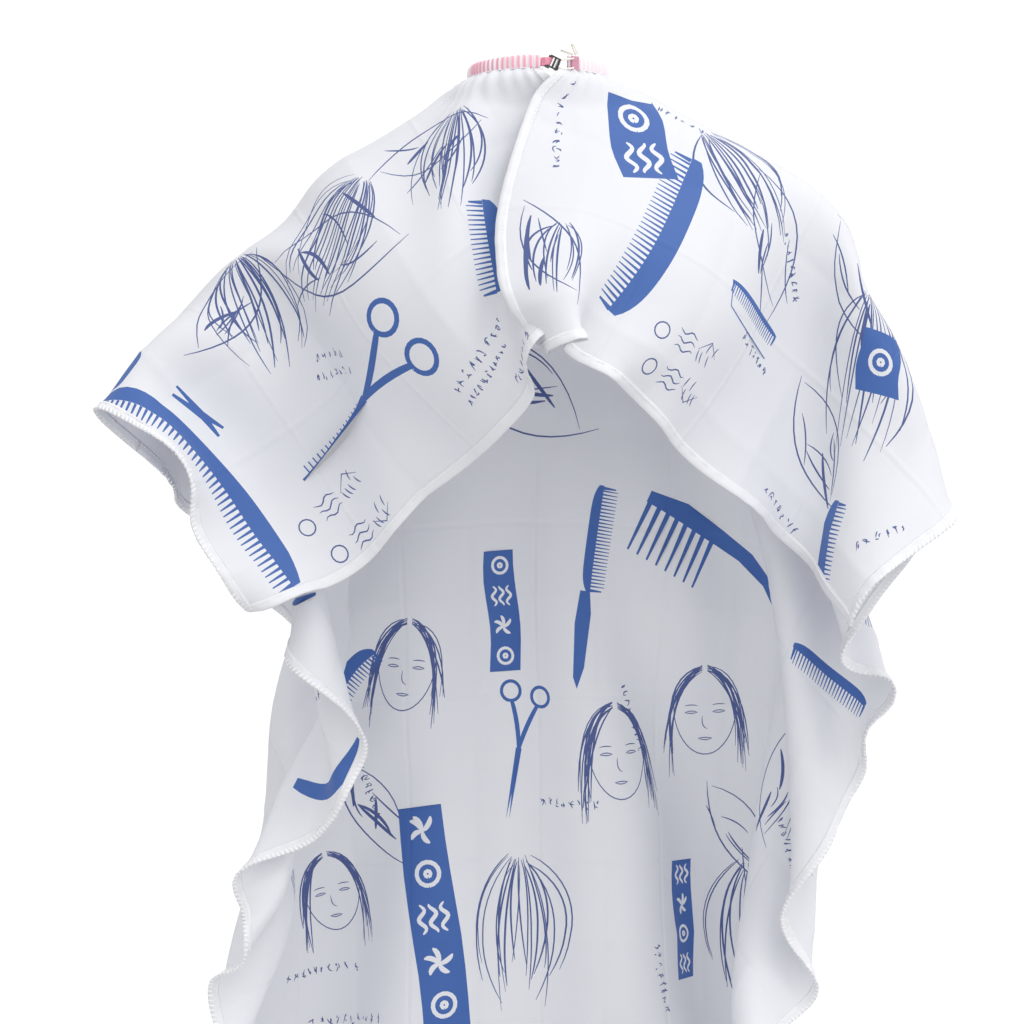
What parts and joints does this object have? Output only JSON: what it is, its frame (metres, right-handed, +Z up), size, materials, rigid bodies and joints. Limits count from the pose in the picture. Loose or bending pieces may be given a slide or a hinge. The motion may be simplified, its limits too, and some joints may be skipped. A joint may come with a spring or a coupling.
{
  "type": "barber cape",
  "caption": "Hairdressing cape of printed cloth with a long front panel, two short back flaps, an elastic neckband and a hook-and-loop closure at the nape, shown as worn.",
  "frame": {"origin": "centre of the closed neckband", "axes": "+Z up along the wearer's neck, -Y to the nape where the cape closes, +Y to the front panel, +X to the wearer's right-hand flap as seen from behind"},
  "size_m": [0.6986, 0.4545, 1.1197],
  "materials": {
    "cloth": "thin woven polyester with a blue print",
    "hem": "doubled thin woven polyester",
    "elastic": "knitted elastic",
    "elastic_thread": "zigzag stitching",
    "hook_plastic": "moulded",
    "cord": "covered elastic cord",
    "loop_thread": "dense stitching",
    "thread": "sewing thread"
  },
  "bodies": {
    "root": {"neckband_casing": "hem", "elastic_band": "elastic", "elastic_bartack": "elastic_thread", "cord_loop_inner": "cord", "loop_bartack": "loop_thread", "neckline_stitching": "thread", "front_panel": "cloth", "left_shoulder": "cloth", "right_shoulder": "cloth", "front_hem": "hem", "left_side_hem": "hem", "right_side_hem": "hem"},
    "hook": {"hook": "hook_plastic"},
    "loop_middle": {"cord_loop_middle": "cord"},
    "loop_outer": {"cord_loop_outer": "cord"},
    "left_flap": {"left_back_flap": "cloth", "left_flap_hem": "hem", "left_slit_hem": "hem", "left_flap_side_hem": "hem"},
    "right_flap": {"right_back_flap": "cloth", "right_flap_hem": "hem", "right_slit_hem": "hem", "right_flap_side_hem": "hem"}
  },
  "joints": [
    {"name": "hook_swing", "type": "hinge", "parent": "root", "child": "hook", "pos_m": [0.00814, -0.05793, 0], "axis": [-0.3971, -0.088, -0.9135], "range_deg": [0, 70]},
    {"name": "middle_loop_flop", "type": "hinge", "parent": "root", "child": "loop_middle", "pos_m": [0.02803, -0.05384, 0.00705], "axis": [-0.4617, 0.887, 0], "range_deg": [0, 40]},
    {"name": "outer_loop_flop", "type": "hinge", "parent": "root", "child": "loop_outer", "pos_m": [0.03126, -0.05203, 0.00705], "axis": [-0.515, 0.8572, 0], "range_deg": [0, 60]},
    {"name": "right_flap_lift", "type": "hinge", "parent": "root", "child": "right_flap", "pos_m": [0.006, -0.072, -0.02], "axis": [-0.679, 0.0731, 0.7305], "range_deg": [0, 70]},
    {"name": "left_flap_lift", "type": "hinge", "parent": "root", "child": "left_flap", "pos_m": [-0.004, -0.06, -0.02], "axis": [-0.6968, -0.0995, -0.7103], "range_deg": [0, 45]}
  ],
  "couplings": [
    {"joint": "left_flap_lift", "follows": "right_flap_lift", "ratio": 0.6}
  ]
}
